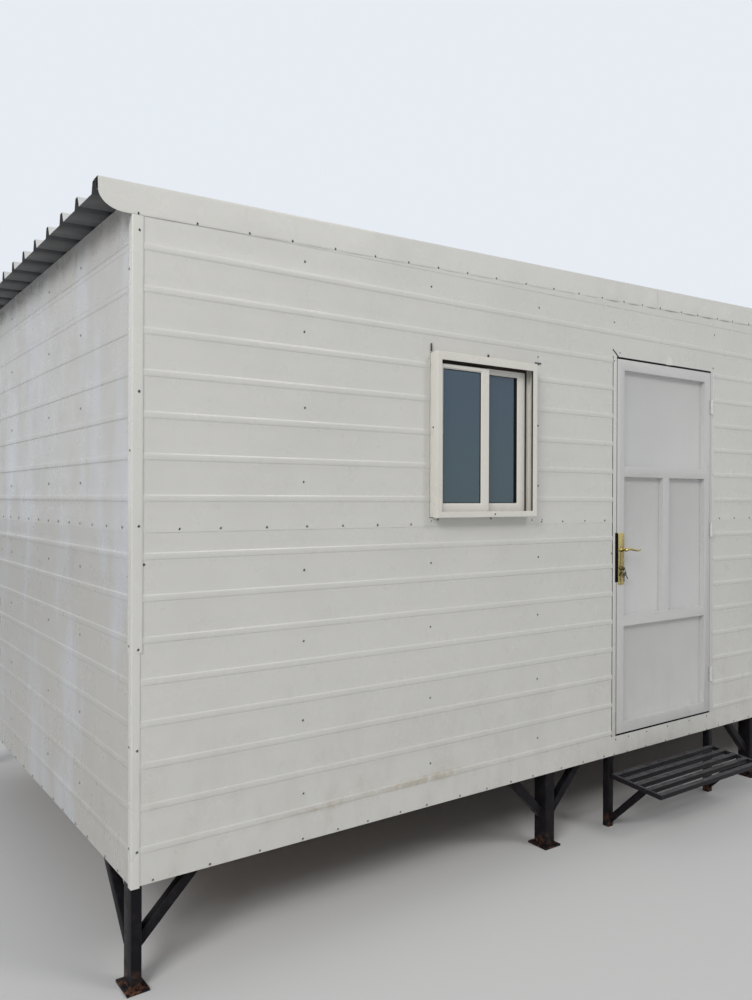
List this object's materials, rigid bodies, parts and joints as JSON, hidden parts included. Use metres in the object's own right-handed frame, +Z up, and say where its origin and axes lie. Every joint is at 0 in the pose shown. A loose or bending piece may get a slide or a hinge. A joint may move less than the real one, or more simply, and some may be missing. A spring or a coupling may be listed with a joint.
{
  "type": "portable site cabin",
  "caption": "Portable site cabin on steel legs, clad in banded white sheet, with a sliding window each side of an outward door, a slatted step and a ribbed roof rising to one end",
  "frame": {"origin": "on the ground, below the middle of the whole object's box", "axes": "+Z up, the door front faces -Y, +X runs along the cabin to the high end of the roof"},
  "size_m": [6.4532, 3.3248, 3.0364],
  "materials": {
    "black_steel": "dull black brushed-on paint over steel, dusty, a little rust at the feet",
    "floor_wood": "phenolic-faced plywood, dusty",
    "wall_core": "white lining sheet on foam core",
    "sheet_white": "glossy off-white pre-painted sheet, slightly wavy, dust in the bands",
    "trim_white": "glossy off-white folded sheet with small dents at its rivets",
    "roof_paint": "pale sheet, dark grey below",
    "purlin_steel": "black painted steel",
    "door_white": "satin white paint with a faint mauve tint",
    "hinge_steel": "plain steel under thin white paint",
    "lock_brass": "bright brass plate",
    "key_steel": "nickel-plated keys",
    "window_cream": "cream powder-coated aluminium",
    "window_glass": "blue-grey tinted glass"
  },
  "bodies": {
    "cabin": {"chassis_rails": "black_steel", "floor_joists": "black_steel", "front_legs": "black_steel", "rear_legs": "black_steel", "knee_braces": "black_steel", "step_posts": "black_steel", "door_step": "black_steel", "floor_board": "floor_wood", "front_wall_left": "wall_core", "front_wall_right": "wall_core", "front_wall_over_door": "wall_core", "rear_wall": "wall_core", "left_end_wall": "wall_core", "right_end_wall": "wall_core", "front_sheets_left": "sheet_white", "front_sheets_right": "sheet_white", "sheet_over_door": "sheet_white", "threshold_strip": "sheet_white", "rear_sheets": "sheet_white", "left_end_sheets": "sheet_white", "right_end_sheets": "sheet_white", "corner_trims": "trim_white", "infill_strips": "sheet_white", "front_fascia": "trim_white", "rear_fascia": "trim_white", "roof_sheet": "roof_paint", "roof_purlins": "purlin_steel", "ceiling_board": "wall_core", "door_jamb_left": "door_white", "door_jamb_right": "door_white", "door_head": "door_white", "jamb_trims": "trim_white", "frame_hinge_halves": "hinge_steel", "left_window_frame": "window_cream", "right_window_frame": "window_cream", "left_window_sashes": "window_cream", "right_window_sashes": "window_cream", "window_glass": "window_glass"},
    "door": {"door_leaf_frame": "door_white", "door_panels": "door_white", "leaf_hinge_halves": "hinge_steel", "lock_plates": "lock_brass", "lock_cylinder": "lock_brass", "key_bunch": "key_steel"},
    "lever": {"lever_handles": "lock_brass"}
  },
  "joints": [
    {"name": "door_hinge", "type": "hinge", "parent": "cabin", "child": "door", "pos_m": [0.43748, -1.35758, 1.585], "axis": [0, 0, 1], "range_deg": [0, 165]},
    {"name": "lever_turn", "type": "hinge", "parent": "door", "child": "lever", "pos_m": [-0.40152, -1.34958, 1.492], "axis": [0, 1, 0], "range_deg": [0, 40], "stiffness_Nm_per_rad": 1.2}
  ]
}
